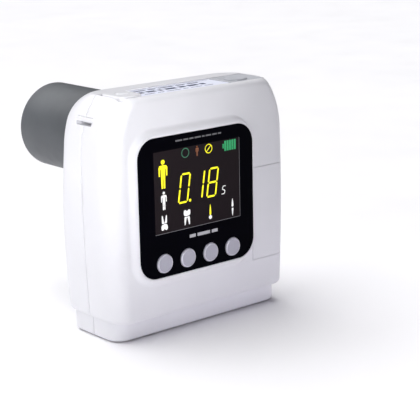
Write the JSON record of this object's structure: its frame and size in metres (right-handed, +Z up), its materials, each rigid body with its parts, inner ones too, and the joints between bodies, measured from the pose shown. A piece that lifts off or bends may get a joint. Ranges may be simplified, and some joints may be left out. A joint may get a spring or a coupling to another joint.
{
  "type": "hand-held intraoral x-ray unit",
  "caption": "Portable battery dental X-ray camera: white two-shell body with raised black display and keys, battery grip side and round grey beam cone at the back.",
  "frame": {"origin": "middle of the plane under the four rubber feet", "axes": "+Z up, +Y along the beam cone away from the operator, +X towards the battery grip at the operator's right"},
  "size_m": [0.1498, 0.1616, 0.1587],
  "materials": {
    "white_shell": "satin moulded ABS",
    "grey_cone": "satin moulded",
    "black_window": "polished acrylic",
    "screen": "polished",
    "key_grey": "satin moulded",
    "label_blue": "printed film, fine matt",
    "surround_grey": "fine matt",
    "latch_dark": "moulded",
    "rubber_black": "moulded",
    "board_green": "solder mask",
    "component_black": "moulded epoxy",
    "ribbon": "film",
    "chassis_aluminium": "milled",
    "tank_steel": "painted steel, lead lined",
    "lead": "dull",
    "core_iron": "varnished",
    "tube_glass": "clear",
    "can_blue": "shrink sleeve",
    "battery_wrap": "shrink sleeve",
    "contact_brass": "plated",
    "screw_steel": "zinc plated"
  },
  "bodies": {
    "housing": {"aluminium_filter": "chassis_aluminium", "battery_contacts": "contact_brass", "battery_pack": "battery_wrap", "battery_tray": "latch_dark", "buzzer": "component_black", "charging_jack": "component_black", "chassis_plate": "chassis_aluminium", "collimator": "lead", "cone_flange": "chassis_aluminium", "cone_liner": "lead", "cone_tube": "grey_cone", "display_board": "board_green", "display_window": "black_window", "exposure_surround": "surround_grey", "exposure_switch": "component_black", "front_shell": "white_shell", "hv_transformer": "core_iron", "inverter_board": "board_green", "inverter_transformer": "core_iron", "key_switch_1": "component_black", "key_switch_2": "component_black", "key_switch_3": "component_black", "key_switch_4": "component_black", "lcd_module": "screen", "main_board": "board_green", "power_bezel": "white_shell", "power_switch": "component_black", "processor": "component_black", "rear_shell": "white_shell", "ribbon_cable": "ribbon", "rubber_foot_1": "rubber_black", "rubber_foot_2": "rubber_black", "rubber_foot_3": "rubber_black", "rubber_foot_4": "rubber_black", "shell_screws": "screw_steel", "standoffs": "contact_brass", "storage_capacitor_1": "can_blue", "storage_capacitor_2": "can_blue", "storage_capacitor_3": "can_blue", "strap_bar_left": "white_shell", "strap_bar_right": "white_shell", "tank_housing": "tank_steel", "tank_lid": "tank_steel", "tank_screws": "screw_steel", "top_board": "board_green", "top_label_plate": "label_blue", "tube_insert": "tube_glass", "window_gasket": "rubber_black"},
    "key_1": {"key_1": "key_grey"},
    "key_2": {"key_2": "key_grey"},
    "key_3": {"key_3": "key_grey"},
    "key_4": {"key_4": "key_grey"},
    "power_key": {"power_key": "white_shell"},
    "exposure_key": {"exposure_key": "key_grey"},
    "battery_cover": {"battery_cover": "white_shell"},
    "cover_latch": {"cover_latch": "latch_dark"}
  },
  "joints": [
    {"name": "key_1_press", "type": "slide", "parent": "housing", "child": "key_1", "axis": [0, 1, 0], "range_m": [0, 0.0008], "stiffness_N_per_m": 1500},
    {"name": "key_2_press", "type": "slide", "parent": "housing", "child": "key_2", "axis": [0, 1, 0], "range_m": [0, 0.0008], "stiffness_N_per_m": 1500},
    {"name": "key_3_press", "type": "slide", "parent": "housing", "child": "key_3", "axis": [0, 1, 0], "range_m": [0, 0.0008], "stiffness_N_per_m": 1500},
    {"name": "key_4_press", "type": "slide", "parent": "housing", "child": "key_4", "axis": [0, 1, 0], "range_m": [0, 0.0008], "stiffness_N_per_m": 1500},
    {"name": "power_key_press", "type": "slide", "parent": "housing", "child": "power_key", "axis": [0, 0, -1], "range_m": [0, 0.0007], "stiffness_N_per_m": 1500},
    {"name": "exposure_key_press", "type": "slide", "parent": "housing", "child": "exposure_key", "axis": [0, 0, -1], "range_m": [0, 0.0015], "stiffness_N_per_m": 1200},
    {"name": "battery_cover_slide", "type": "slide", "parent": "housing", "child": "battery_cover", "axis": [1, 0, 0], "range_m": [0, 0.03]},
    {"name": "cover_latch_press", "type": "slide", "parent": "battery_cover", "child": "cover_latch", "axis": [-1, 0, 0], "range_m": [0, 0.001], "stiffness_N_per_m": 1000}
  ]
}
